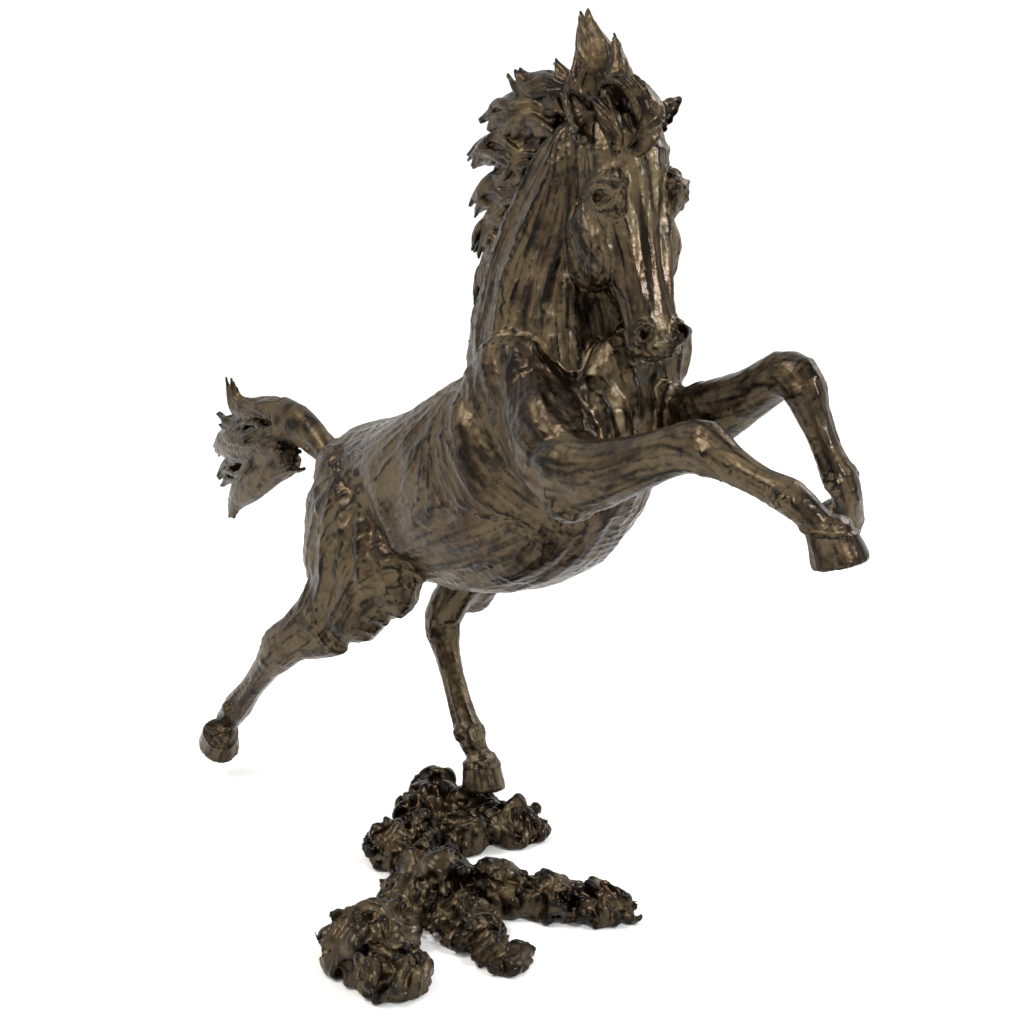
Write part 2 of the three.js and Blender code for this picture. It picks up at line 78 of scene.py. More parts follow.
# ---------------- voxel clay, in millimetres
class Clay:
    """Signed distance in millimetres on a grid: under zero inside the clay."""

    def __init__(self, low, high, cell):
        self.cell = cell
        self.first = np.floor(np.array(low) / cell).astype(int)
        count = np.ceil(np.array(high) / cell).astype(int) - self.first + 1
        self.far = BAND * cell
        self.d = np.full(tuple(count), self.far, np.float32)

    def axes(self, window=None):
        window = window or tuple(slice(0, n) for n in self.d.shape)
        return [
            ((np.arange(w.start, w.stop) + self.first[k]) * self.cell).astype(np.float32)
            for k, w in enumerate(window)
        ]

    def seen_from(self, point, window):
        """The x, y and z of a window's voxels from a point, ready to be spread over the window."""
        x, y, z = self.axes(window)
        return x[:, None, None] - point[0], y[None, :, None] - point[1], z[None, None, :] - point[2]

    def window(self, low, high):
        """The slices that hold a box, or None outside the grid."""
        a = np.floor(np.array(low) / self.cell).astype(int) - self.first
        b = np.ceil(np.array(high) / self.cell).astype(int) - self.first + 1
        a, b = np.maximum(a, 0), np.minimum(b, self.d.shape)
        return tuple(slice(int(p), int(q)) for p, q in zip(a, b)) if (b > a).all() else None

    def fill_from(self, names, rough=None):
        """Takes the outer skin of CAD nodes, and fills whatever they enclose.

        A rough clay of the whole horse tells a finer one which side of the skin is the open air.
        """
        points, triangles, _ = cad_meshes(names)
        grid = vdb.FloatGrid.createLevelSetFromPolygons(
            points, triangles=triangles.astype(np.uint32),
            transform=vdb.createLinearTransform(self.cell), halfWidth=BAND)
        raw = np.empty(self.d.shape, np.float32)
        grid.copyToArray(raw, ijk=tuple(int(v) for v in self.first))
        if rough is None:
            outside = flood_from_edge(raw > 0.4)
        else:
            outside = (raw > 0.4) & (rough.sampled(self.axes()) > -0.5 * rough.cell)
        beside = spread(outside)
        outside |= beside & (raw > 0)
        beside = spread(outside)
        near = spread(beside)
        depth = np.where(beside, np.abs(raw), np.maximum(np.abs(raw), 0.9 * self.cell))
        self.d = np.where(outside, np.abs(raw), np.where(near, -depth, -self.far))
        self.d = np.clip(self.d, -self.far, self.far).astype(np.float32)

    def sampled(self, axes):
        """The nearest values on another grid's axes."""
        index = [np.clip(np.round(a / self.cell).astype(int) - f, 0, n - 1)
                 for a, f, n in zip(axes, self.first, self.d.shape)]
        return self.d[np.ix_(*index)]

    def blurred(self, sigma):
        """The field smoothed over sigma millimetres."""
        s = sigma / self.cell
        reach = max(1, int(math.ceil(2.6 * s)))
        taps = np.exp(-0.5 * (np.arange(-reach, reach + 1) / s) ** 2)
        taps /= taps.sum()
        out = self.d
        for axis in range(3):
            padded = np.pad(out, [(reach, reach) if k == axis else (0, 0) for k in range(3)], "edge")
            total = np.zeros_like(out)
            for i, tap in enumerate(taps):
                cut = [slice(None)] * 3
                cut[axis] = slice(i, i + out.shape[axis])
                total += np.float32(tap) * padded[tuple(cut)]
            out = total
        return out

    def merge(self, window, shape, soft, add=True):
        """Adds a shape's distance to the clay, or cuts it away, with a fillet of soft millimetres."""
        old = self.d[window]
        sign = 1.0 if add else -1.0
        a, b = sign * old, shape
        h = np.clip(0.5 + 0.5 * (a - b) / soft, 0, 1)
        mixed = a + (b - a) * h - soft * h * (1 - h)
        self.d[window] = np.clip(sign * mixed, -self.far, self.far)

    def strand(self, points, radii, soft=1.0, add=True):
        """A tube of varying radius along points."""
        points, radii = np.asarray(points, float), np.asarray(radii, float)
        for p, q, r, s in zip(points[:-1], points[1:], radii[:-1], radii[1:]):
            pad = max(r, s) + self.far + soft
            window = self.window(np.minimum(p, q) - pad, np.maximum(p, q) + pad)
            if window is None:
                continue
            x, y, z = self.seen_from(p, window)
            way = q - p
            t = np.clip((x * way[0] + y * way[1] + z * way[2]) / max(way @ way, 1e-6), 0, 1)
            gap = np.sqrt((x - t * way[0]) ** 2 + (y - t * way[1]) ** 2 + (z - t * way[2]) ** 2)
            self.merge(window, gap - (r + t * (s - r)), soft, add)

    def barrel(self, sections, grow):
        """Fills rows of x, y, z, half-width, reach above and reach below, made thinner by -grow."""
        rows = smooth_line(sections, 5 * len(sections))
        points = place(rows[:, :3])
        way = unit(np.gradient(points, axis=0))
        upward = unit(np.cross(way, (0.0, 1.0, 0.0)))
        side = np.cross(upward, way)
        for k in range(len(rows) - 1):
            wide, above, below = rows[k, 3:] + grow
            reach = max(wide, above, below)
            long = np.linalg.norm(points[k + 1] - points[k])
            window = self.window(points[k] - reach - self.far, points[k] + reach + self.far)
            if window is None or min(wide, above, below) <= 0:
                continue
            x, y, z = self.seen_from(points[k], window)
            s, u, v = (x * a[0] + y * a[1] + z * a[2] for a in (way[k], side[k], upward[k]))
            tall = np.where(v > 0, above, below)
            round_gap = (np.sqrt((u / wide) ** 2 + (v / tall) ** 2) - 1) * min(wide, above, below)
            gap = np.maximum(round_gap, np.abs(s) - 0.7 * long)
            self.d[window] = np.maximum(np.minimum(self.d[window], gap), -self.far)

    def lump(self, at, radii, turn=None, soft=1.0, add=True):
        """An ellipsoid; turn is a 3x3 matrix whose columns are its axes."""
        at, radii = np.asarray(at, float), np.asarray(radii, float)
        turn = np.eye(3) if turn is None else np.asarray(turn, float)
        half = np.abs(turn) @ radii + self.far + soft
        window = self.window(at - half, at + half)
        if window is None:
            return
        x, y, z = self.seen_from(at, window)
        k0 = k1 = 0
        for axis, radius in zip(turn.T, radii):
            along = (x * axis[0] + y * axis[1] + z * axis[2]) / radius
            k0 = k0 + along ** 2
            k1 = k1 + (along / radius) ** 2
        k0, k1 = np.sqrt(k0), np.sqrt(k1)
        self.merge(window, k0 * (k0 - 1) / np.maximum(k1, 1e-6), soft, add)

    def skin(self):
        """Points in millimetres and the quads of the clay's surface."""
        grid = vdb.FloatGrid(self.far)
        grid.copyFromArray(self.d, ijk=tuple(int(v) for v in self.first))
        grid.transform = vdb.createLinearTransform(self.cell)
        points, quads = grid.convertToQuads(0.0)
        return np.asarray(points, float), np.asarray(quads, np.int64)[:, ::-1]


def spread(mask):
    """The mask grown by one voxel along each axis."""
    out = mask.copy()
    for axis in range(3):
        ahead = [slice(None)] * 3
        behind = [slice(None)] * 3
        ahead[axis], behind[axis] = slice(1, None), slice(None, -1)
        out[tuple(ahead)] |= mask[tuple(behind)]
        out[tuple(behind)] |= mask[tuple(ahead)]
    return out


def flood_from_edge(open_space):
    """The part of the open space that is joined to the grid's first corner."""
    reached = np.zeros_like(open_space)
    reached[0, 0, 0] = True
    count = 1
    while True:
        for axis in range(3):
            for order in (1, -1):
                lines = np.moveaxis(reached, axis, 0)[::order]
                free = np.moveaxis(open_space, axis, 0)[::order]
                for i in range(1, len(lines)):
                    lines[i] |= lines[i - 1] & free[i]
        now = int(reached.sum())
        if now == count:
            return reached
        count = now


# ---------------- small tools for points
LAYOUT = np.array([-20.0, 88.0, 0.0])  # the tables are measured from under the supporting hoof
LATTICE = np.random.default_rng(7).uniform(-1, 1, (64, 64, 64)).astype(np.float32)


def place(points):
    return np.asarray(points, float) + LAYOUT


def turned(angles):
    """The matrix that turns about x, then y, then z, by degrees."""
    a, b, c = np.radians(angles)
    x = np.array([[1, 0, 0], [0, np.cos(a), -np.sin(a)], [0, np.sin(a), np.cos(a)]])
    y = np.array([[np.cos(b), 0, np.sin(b)], [0, 1, 0], [-np.sin(b), 0, np.cos(b)]])
    z = np.array([[np.cos(c), -np.sin(c), 0], [np.sin(c), np.cos(c), 0], [0, 0, 1]])
    return z @ y @ x


def unit(v):
    return v / np.maximum(np.linalg.norm(v, axis=-1, keepdims=True), 1e-9)


def smooth_line(points, count):
    """Catmull-Rom through rows of numbers, at count even steps."""
    rows = np.asarray(points, float)
    rows = np.vstack([2 * rows[0] - rows[1], rows, 2 * rows[-1] - rows[-2]])
    t = np.linspace(0, len(rows) - 3 - 1e-6, count)
    i = t.astype(int)
    f = (t - i)[:, None]
    a, b, c, d = rows[i], rows[i + 1], rows[i + 2], rows[i + 3]
    square, cube = 2 * a - 5 * b + 4 * c - d, 3 * b - a - 3 * c + d
    return 0.5 * (2 * b + (c - a) * f + square * f ** 2 + cube * f ** 3)


def step(low, high, value):
    t = np.clip((value - low) / (high - low), 0, 1)
    return t * t * (3 - 2 * t)


def speckle(points, size, seed=0):
    """Smooth random values from -1 to 1 at points, size millimetres apart."""
    scaled = points / size + 512 + 17.3 * seed
    base = np.floor(scaled).astype(np.int32)
    part = (scaled - base).astype(np.float32)
    part = part * part * (3 - 2 * part)
    total = 0
    for corner in range(8):
        i, j, k = corner & 1, corner >> 1 & 1, corner >> 2
        weight = 1
        for axis, on in enumerate((i, j, k)):
            weight = weight * (part[:, axis] if on else 1 - part[:, axis])
        total = total + weight * LATTICE[base[:, 0] + i & 63, base[:, 1] + j & 63, base[:, 2] + k & 63]
    return total


def streaks(points, flow, width, length, seed):
    """Random values drawn out along the flow, with a spread of about 1."""
    count = max(3, int(round(length / width)))
    total = 0
    for s in np.linspace(-0.5, 0.5, count):
        total = total + speckle(points + flow * (s * length), width, seed)
    return total / (0.36 * math.sqrt(count))


# ---------------- which way the modelling runs
# Lines that the sculptor's strokes follow, from the poll down to the hooves and the tail.
RIGHT_AND_LEFT = [
    [(120, -20, 612), (84, -40, 540), (74, -52, 470), (96, -62, 410), (160, -72, 366)],
    [(146, -16, 600), (122, -34, 530), (116, -44, 470), (140, -56, 420)],
    [(50, -50, 455), (70, -70, 400), (110, -78, 350), (150, -78, 330)],
    [(30, -60, 430), (-20, -76, 370), (-70, -76, 320), (-110, -76, 262), (-120, -82, 214)],
    [(-20, -50, 402), (-90, -56, 366), (-150, -50, 310), (-160, -62, 240), (-140, -80, 190)],
    [(130, -60, 320), (70, -72, 290), (0, -74, 262), (-50, -66, 240)],
    [(160, -60, 402), (212, -70, 387), (275, -72, 400)],
]
MIDDLE = [
    [(110, 5, 640), (48, 0, 540), (28, 0, 470), (6, 0, 425), (-60, 0, 384), (-140, 0, 350), (-190, 0, 320)],
    [(176, 0, 560), (158, 0, 500), (180, 0, 440), (208, 0, 400), (196, 0, 350)],
    [(170, 0, 300), (100, 0, 262), (0, 0, 232), (-70, 0, 226)],
]
HEAD_AT, HEAD_TURN = place((204, 6, 587)), turned((-1, -15, -16))
HEAD_LINES = [
    [(8, 0, 60), (14, 0, 0), (10, 0, -60), (10, 0, -116)],
    [(-52, 26, 46), (-48, 34, 10), (-40, 34, -20), (-16, 24, -60), (-4, 20, -104)],
    [(-52, -26, 46), (-48, -34, 10), (-40, -34, -20), (-16, -24, -60), (-4, -20, -104)],
    [(-80, 0, 10), (-70, 0, -30), (-40, 0, -70), (-16, 0, -104)],
]
LEGS = {
    "foreleg_right": dict(
        line=[(275, -72, 400), (300, -72, 412), (332, -70, 423), (356, -69, 425), (374, -68, 419),
              (402, -65, 410), (424, -63, 404), (437, -59, 394), (446, -53, 384)],
        hoof=(450, -50, 360), turn=(0, 0, 30), tall=0.85),
    "foreleg_left": dict(
        line=[(272, 39, 436), (296, 37, 446), (324, 34, 462), (348, 33, 458), (357, 34, 438),
              (370, 36, 414), (382, 38, 394), (384, 44, 380), (378, 52, 366)],
        hoof=(352, 54, 352), turn=(0, 64, 0), tall=0.9),
    "hindleg_right": dict(
        line=[(-104, -70, 216), (-122, -76, 186), (-148, -87, 170), (-176, -91, 148), (-196, -92, 129),
              (-225, -93, 100), (-248, -93, 78), (-258, -93, 68), (-268, -94, 58)],
        hoof=(-284, -98, 34), turn=(20, 48, 12), tall=0.9),
    "hindleg_left": dict(
        line=[(-48, 46, 252), (-56, 43, 232), (-72, 36, 202), (-82, 31, 170), (-68, 26, 148),
              (-42, 17, 118), (-16, 9, 94), (-10, 11, 80), (-6, 13, 70)],
        hoof=(-2, 12, 44), turn=(0, 0, -18), tall=0.9),
}


def on_head(points):
    return np.asarray(points, float) @ HEAD_TURN.T + HEAD_AT


def mirrored(line):
    return [(x, -y, z) for x, y, z in line]


def flow_guides():
    """Places, and the way that strokes run there."""
    lines = [place(line) for line in MIDDLE + RIGHT_AND_LEFT]
    lines += [place(mirrored(line)) for line in RIGHT_AND_LEFT]
    lines += [on_head(line) for line in HEAD_LINES]
    for leg in LEGS.values():
        lines.append(np.vstack([place(leg["line"]), place([leg["hoof"]])]))
    spots, ways = [], []
    for line in lines:
        fine = smooth_line(line, 4 * len(line))
        spots.append((fine[1:] + fine[:-1]) / 2)
        ways.append(unit(np.diff(fine, axis=0)))
    return np.concatenate(spots).astype(np.float32), np.concatenate(ways).astype(np.float32)


SPOTS, WAYS = flow_guides()


def flow_at(points, normals):
    """The strokes' direction on the surface at each point."""
    out = np.empty_like(points)
    batch = 20000  # points at a time, to save memory
    for start in range(0, len(points), batch):
        here = points[start:start + batch].astype(np.float32)
        gap = ((here[:, None, :] - SPOTS[None]) ** 2).sum(2)
        out[start:start + batch] = (1 / (gap + 60) ** 2) @ WAYS  # near guides count most
    out -= normals * (out * normals).sum(1, keepdims=True)
    return unit(out)


# ---------------- from clay to pieces
def vertex_normals(points, quads):
    a, b, c, d = (points[quads[:, k]] for k in range(4))
    face = np.cross(c - a, d - b)
    total = np.zeros_like(points)
    for k in range(4):
        for axis in range(3):
            total[:, axis] += np.bincount(quads[:, k], face[:, axis], len(points))
    return unit(total)


def neighbour_mean(values, quads, count):
    """Each vertex's mean over the vertices beside it."""
    values = values.reshape(count, -1)
    total, hits = np.zeros_like(values), np.zeros(count)
    for k in range(4):
        a, b = quads[:, k], quads[:, (k + 1) % 4]
        hits += np.bincount(a, minlength=count) + np.bincount(b, minlength=count)
        for column in range(values.shape[1]):
            total[:, column] += np.bincount(a, values[b, column], count)
            total[:, column] += np.bincount(b, values[a, column], count)
    return total / hits[:, None]


def relief_of(points, normals, quads, rounds=3):
    """How far each vertex stands above the surface around it, in millimetres."""
    mean = points
    for _ in range(rounds):
        mean = neighbour_mean(mean, quads, len(points))
    return ((points - mean) * normals).sum(1)


def nearest_node(names, centres):
    """The index of the CAD node that each point lies nearest to."""
    points, triangles, owner = cad_meshes(names)
    find = BVHTree.FromPolygons(points.tolist(), triangles.tolist()).find_nearest
    return np.array([owner[find(c)[2]] for c in centres.tolist()])


def border_loops(quads):
    """The open borders of a set of quads, each a list of vertices in order."""
    edges = np.concatenate([quads[:, [k, (k + 1) % 4]] for k in range(4)])
    keys = edges[:, 0] * (edges.max() + 1) + edges[:, 1]
    back = edges[:, 1] * (edges.max() + 1) + edges[:, 0]
    after = {}
    for a, b in edges[~np.isin(back, keys)].tolist():
        after.setdefault(a, []).append(b)

    def step_from(vertex):
        onward = after[vertex].pop()
        if not after[vertex]:
            del after[vertex]
        return onward

    loops = []
    while after:
        first = next(iter(after))
        loop, here = [first], step_from(first)
        while here != first and here in after:
            loop.append(here)
            here = step_from(here)
        loops.append(loop)
    return loops


def keep_large(quads, count, share=0.02):
    """Drops the small scraps of a piece, which share no vertex with its main part."""
    label = np.arange(count)
    while True:
        low = label[quads].min(1)
        new = label.copy()
        for k in range(4):
            np.minimum.at(new, quads[:, k], low)
        new = new[new]
        if (new == label).all():
            break
        label = new
    group = label[quads[:, 0]]
    names, sizes = np.unique(group, return_counts=True)
    return quads[np.isin(group, names[sizes >= share * sizes.max()])]


def make_piece(name, points, quads, normals, relief, tone, material, replaced):
    """A closed mesh object of some of the quads, with the whole skin's normals at its borders."""
    quads = keep_large(quads, len(points))
    used, flat = np.unique(quads, return_inverse=True)
    quads = flat.reshape(quads.shape)
    co, no, marks = points[used], normals[used], {"relief": relief[used], "tone": tone[used]}
    faces = quads.tolist()
    extra, middle = [], co.mean(0)
    for loop in border_loops(quads):
        centre = co[loop].mean(0)
        reach = np.linalg.norm(co[loop] - centre, axis=1).mean()
        inward = unit(middle - centre) * min(2.0, 0.2 * reach)
        tip = len(co) + len(extra)
        extra.append(centre + inward)
        faces += [(b, a, tip) for a, b in zip(loop, loop[1:] + loop[:1])]
    if extra:
        extra = np.array(extra)
        co, no = np.vstack([co, extra]), np.vstack([no, unit(extra - middle)])
        marks = {key: np.concatenate([mark, np.zeros(len(extra))]) for key, mark in marks.items()}
    mesh = bpy.data.meshes.new(name)
    mesh.from_pydata((co * MM).tolist(), [], faces)
    mesh.polygons.foreach_set("use_smooth", [True] * len(mesh.polygons))
    for key, mark in marks.items():
        mesh.attributes.new(key, "FLOAT", "POINT").data.foreach_set("value", mark.astype(np.float32))
    mesh.materials.append(material)
    mesh.update()
    mesh.normals_split_custom_set_from_vertices(no.tolist())
    piece = shown(name, mesh)
    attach(piece, "root")
    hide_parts(*replaced)


def model_pieces(clay, names, material, finish, kept=None):
    """Skins the clay, works its surface, and makes a piece for each CAD node it stands for."""
    points, quads = clay.skin()
    normals = vertex_normals(points, quads)
    points, normals, tone = finish(points, normals, quads)
    relief = relief_of(points, normals, quads)
    owner = nearest_node(names, points[quads].mean(1))
    for index, name in enumerate(names):
        if kept is None or name in kept:
            own = quads[owner == index]
            make_piece("cast_" + name, points, own, normals, relief, tone, material, [name])


# ---------------- bronze and steel
class Nodes:
    """Short calls that add and link shader nodes."""

    def __init__(self, name):
        self.material = bpy.data.materials.new(name)
        self.material.use_nodes = True
        self.tree = self.material.node_tree
        self.shader = self.tree.nodes["Principled BSDF"]
        self.place = self.add("ShaderNodeTexCoord").outputs["Object"]

    def add(self, kind, **settings):
        node = self.tree.nodes.new(kind)
        for key, value in settings.items():
            setattr(node, key, value)
        return node

    def link(self, source, target):
        if isinstance(source, (int, float)):
            target.default_value = source
        elif isinstance(source, tuple):
            target.default_value = (*source, 1.0)
        else:
            self.tree.links.new(source, target)

    def noise(self, scale, detail=4.0, roughness=0.55, stretch=(1, 1, 1), distortion=0.0):
        mapping = self.add("ShaderNodeMapping")
        mapping.inputs["Scale"].default_value = stretch
        self.link(self.place, mapping.inputs["Vector"])
        node = self.add("ShaderNodeTexNoise")
        settings = {"Scale": scale, "Detail": detail, "Roughness": roughness, "Distortion": distortion}
        for key, value in settings.items():
            node.inputs[key].default_value = value
        self.link(mapping.outputs[0], node.inputs["Vector"])
        return node.outputs["Fac"]

    def ramp(self, value, low, high, start=0.0, end=1.0):
        node = self.add("ShaderNodeMapRange", interpolation_type="SMOOTHSTEP")
        for key, number in zip(("From Min", "From Max", "To Min", "To Max"), (low, high, start, end)):
            node.inputs[key].default_value = number
        self.link(value, node.inputs["Value"])
        return node.outputs["Result"]

    def math(self, operation, *values):
        node = self.add("ShaderNodeMath", operation=operation)
        for value, socket in zip(values, node.inputs):
            self.link(value, socket)
        return node.outputs[0]

    def mix(self, factor, a, b):
        node = self.add("ShaderNodeMix", data_type="RGBA")
        for source, socket in zip((factor, a, b), (node.inputs[0], node.inputs[6], node.inputs[7])):
            self.link(source, socket)
        return node.outputs[2]

    def bump(self, height, strength, distance):
        node = self.add("ShaderNodeBump")
        node.inputs["Strength"].default_value = strength
        node.inputs["Distance"].default_value = distance
        self.link(height, node.inputs["Height"])
        self.link(node.outputs[0], self.shader.inputs["Normal"])


def bronze(name, brown, olive, dark, copper, edge, olive_share, rough):
    """Patinated bronze: brown under an olive bloom, dark in its hollows, rubbed to copper on its edges.

    Edge is the relief in millimetres that counts as an edge; olive_share and rough are middle values.
    """
    n = Nodes(name)
    relief = n.add("ShaderNodeAttribute", attribute_name="relief").outputs["Fac"]
    tone = n.add("ShaderNodeAttribute", attribute_name="tone").outputs["Fac"]
    cloud = n.noise(14.0, 5.0, 0.6)  # broad, then fine, then in between
    grain = n.noise(220.0, 4.0, 0.6)
    patch = n.noise(46.0, 4.0, 0.65, distortion=0.6)
    bloom = n.math("ADD", cloud, n.math("MULTIPLY", patch, 0.35))
    bloom = n.math("ADD", bloom, n.math("MULTIPLY", tone, 0.09))
    colour = n.mix(n.ramp(bloom, olive_share - 0.14, olive_share + 0.14), brown, olive)
    colour = n.mix(n.ramp(patch, 0.47, 0.66, 0.0, 0.72), colour, dark)
    colour = n.mix(n.ramp(tone, -0.1, -1.3, 0.0, 0.75), colour, dark)
    colour = n.mix(n.ramp(relief, -0.1 * edge, -0.8 * edge, 0.0, 0.9), colour, dark)
    rub = n.math("MULTIPLY", n.ramp(relief, 0.5 * edge, 1.6 * edge), n.ramp(grain, 0.35, 0.6))
    colour = n.mix(n.math("MULTIPLY", rub, 0.8), colour, copper)
    n.link(colour, n.shader.inputs["Base Color"])
    worn = n.math("ADD", cloud, n.math("MULTIPLY", tone, 0.06))
    worn = n.ramp(worn, 0.35, 0.65, rough - 0.1, rough + 0.14)
    n.link(n.math("ADD", worn, n.ramp(grain, 0.3, 0.7, -0.05, 0.06)), n.shader.inputs["Roughness"])
    n.shader.inputs["Metallic"].default_value = 0.94
    n.shader.inputs["Coat Weight"].default_value = 0.14
    n.shader.inputs["Coat Roughness"].default_value = 0.16
    fine = n.math("ADD", n.noise(420.0, 3.0, 0.7), n.math("MULTIPLY", n.noise(1500.0, 2.0), 0.4))
    n.bump(fine, 0.35, 0.0005)
    return n.material


def steel():
    n = Nodes("turned_steel")
    turning = n.noise(300.0, 3.0, 0.6, stretch=(1, 1, 12))
    n.link(n.mix(turning, (0.42, 0.42, 0.43), (0.62, 0.62, 0.63)), n.shader.inputs["Base Color"])
    n.link(n.ramp(turning, 0.3, 0.7, 0.24, 0.42), n.shader.inputs["Roughness"])
    n.shader.inputs["Metallic"].default_value = 1.0
    n.bump(turning, 0.2, 0.0002)
    return n.material


def plain_floor():
    n = Nodes("pale_floor")
    n.link(n.mix(n.noise(3.0), (0.86, 0.86, 0.86), (0.9, 0.9, 0.9)), n.shader.inputs["Base Color"])
    n.shader.inputs["Roughness"].default_value = 0.85
    n.shader.inputs["Specular IOR Level"].default_value = 0.1
    return n.material


DARK = (0.004, 0.0027, 0.0017)  # the patina in hollows
BODY_BRONZE = bronze("patinated_bronze", brown=(0.037, 0.0225, 0.012), olive=(0.094, 0.0685, 0.037),
                     dark=DARK, copper=(0.17, 0.085, 0.042), edge=0.5, olive_share=0.66, rough=0.37)
HAIR_BRONZE = bronze("combed_bronze", brown=(0.036, 0.0215, 0.0105), olive=(0.084, 0.060, 0.030),
                     dark=DARK, copper=(0.22, 0.11, 0.05), edge=0.55, olive_share=0.66, rough=0.4)
BASE_BRONZE = bronze("pressed_bronze", brown=(0.034, 0.021, 0.0105), olive=(0.070, 0.050, 0.026),
                     dark=DARK, copper=(0.26, 0.125, 0.055), edge=0.9, olive_share=0.68, rough=0.34)
STEEL = steel()


# ---------------- the horse's skin
HORSE = [name for name in nodes if name.startswith(("body_", "neck", "head", "foreleg_", "hindleg_"))]
TORSO = [name for name in HORSE if not name.endswith("_lower") and name != "head"]
FINE, BROAD = 1.7, 7.5  # smoothing of limbs and of the trunk, in millimetres
ROUGH_CELL, TRUNK_CELL, HEAD_CELL, LEG_CELL = 3.0, 1.6, 1.1, 1.2  # sizes of voxels
MARGIN = 14  # air round the castings in a clay


def box_of(names, margin):
    corners = [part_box(name) for name in names]
    low = np.min([np.array(c[0]) for c in corners], 0) / MM - margin
    high = np.max([np.array(c[1]) for c in corners], 0) / MM + margin
    return low, high


# Sections of the hollow castings: x, y, z, half-width, reach above and reach below.
HOLLOWS = [
    [(-202, 0, 286, 16, 20, 24), (-182, 0, 283, 34, 44, 48), (-138, 0, 294, 56, 66, 66),
     (-80, 0, 314, 66, 64, 88), (-10, 0, 342, 80, 62, 112), (60, 0, 370, 78, 72, 120),
     (125, 2, 396, 66, 66, 106), (172, 3, 410, 48, 46, 78), (198, 4, 418, 24, 22, 40)],  # trunk
    [(100, 0, 392, 58, 76, 80), (92, 0, 455, 50, 72, 72), (94, 2, 515, 40, 56, 60), (106, 6, 562, 32, 46, 50),
     (124, 11, 602, 27, 40, 42), (148, 16, 624, 22, 30, 36)],  # neck
    [(-138, -34, 305, 34, 52, 52), (-112, -48, 262, 36, 74, 68), (-100, -58, 226, 29, 64, 66),
     (-116, -70, 197, 22, 34, 42), (-136, -82, 178, 18, 24, 30)],  # right thigh
    [(-150, 34, 278, 34, 50, 56), (-98, 44, 270, 34, 50, 62), (-46, 48, 274, 25, 36, 48),
     (-50, 46, 244, 21, 28, 32), (-60, 42, 226, 19, 24, 28)],  # left thigh
]
INSIDE = 3.2  # how far inside those sections the filling stops

# Soft fills where the limbs meet the trunk.
FILLS = [
    ((-66, -54, 250), (42, 27, 40)),
    ((-78, -60, 222), (36, 22, 30)),
    ((-92, -66, 204), (36, 20, 24)),
    ((176, -56, 396), (34, 26, 26)),
    ((196, -30, 404), (20, 22, 34)),
]


def cast_clay(names, kept, cell, rough):
    """Clay over the box of the kept castings, with the sections' facets smoothed away."""
    clay = Clay(*box_of(kept, MARGIN), cell)
    clay.fill_from(names, rough)
    for sections in HOLLOWS:
        clay.barrel(sections, -INSIDE)
    fine, broad = clay.blurred(FINE), clay.blurred(BROAD)
    depth = step(-0.1, 0.45, -broad / clay.far)  # nothing at the skin of thin parts, all of it deep inside
    clay.d = (fine + (broad - fine) * depth).astype(np.float32)
    for at, radii in FILLS:
        for side in (1, -1):
            clay.lump(place([(at[0], side * at[1], at[2])])[0], radii, None, 6.0)
    return clay


def model_head(clay):
    """Sockets, eyes, jowls, chin and the openings of the nostrils."""
    def lumps(at, radii, soft, add=True):
        for side in (-1, 1):
            clay.lump(on_head([(at[0], side * at[1], at[2])])[0], radii, HEAD_TURN, soft, add)

    lumps((0, 25, 6), (15, 10, 14), 5)  # bulge of the orbit
    lumps((-14, 24, -6), (22, 10, 14), 5)
    lumps((-40, 24, -30), (32, 17, 36), 5)  # jowl
    lumps((0, 36.5, -1), (8.5, 4.4, 4.6), 2.4, add=False)  # socket
    lumps((-1, 29, -1), (7.5, 5.8, 5.2), 0.8)  # eyeball
    around = np.linspace(0.02, np.pi - 0.02, 14)
    for side in (-1, 1):
        for lift, radius in ((5.0, 1.5), (-4.4, 1.0)):
            lid = np.stack([-1 + 9.5 * np.cos(around), side * (31.4 + 4.0 * np.sin(around)),
                            -1 - 1.5 * np.cos(around) + lift * np.sin(around)], 1)
            clay.strand(on_head(lid), np.full(14, radius), 1.2)
    lumps((9, 14.5, -106), (9, 8, 10), 4)  # nostril wings
    clay.lump(on_head([(-6, 0, -117)])[0], (10, 12, 8), HEAD_TURN, 4)  # chin
    clay.lump(on_head([(8, 0, -114)])[0], (9, 15, 9), HEAD_TURN, 4)  # upper lip
    lumps((19, 14, -103), (8, 3.6, 4), 1.0, add=False)
    lumps((12, 17, -107), (7, 3.4, 4.5), 1.0, add=False)


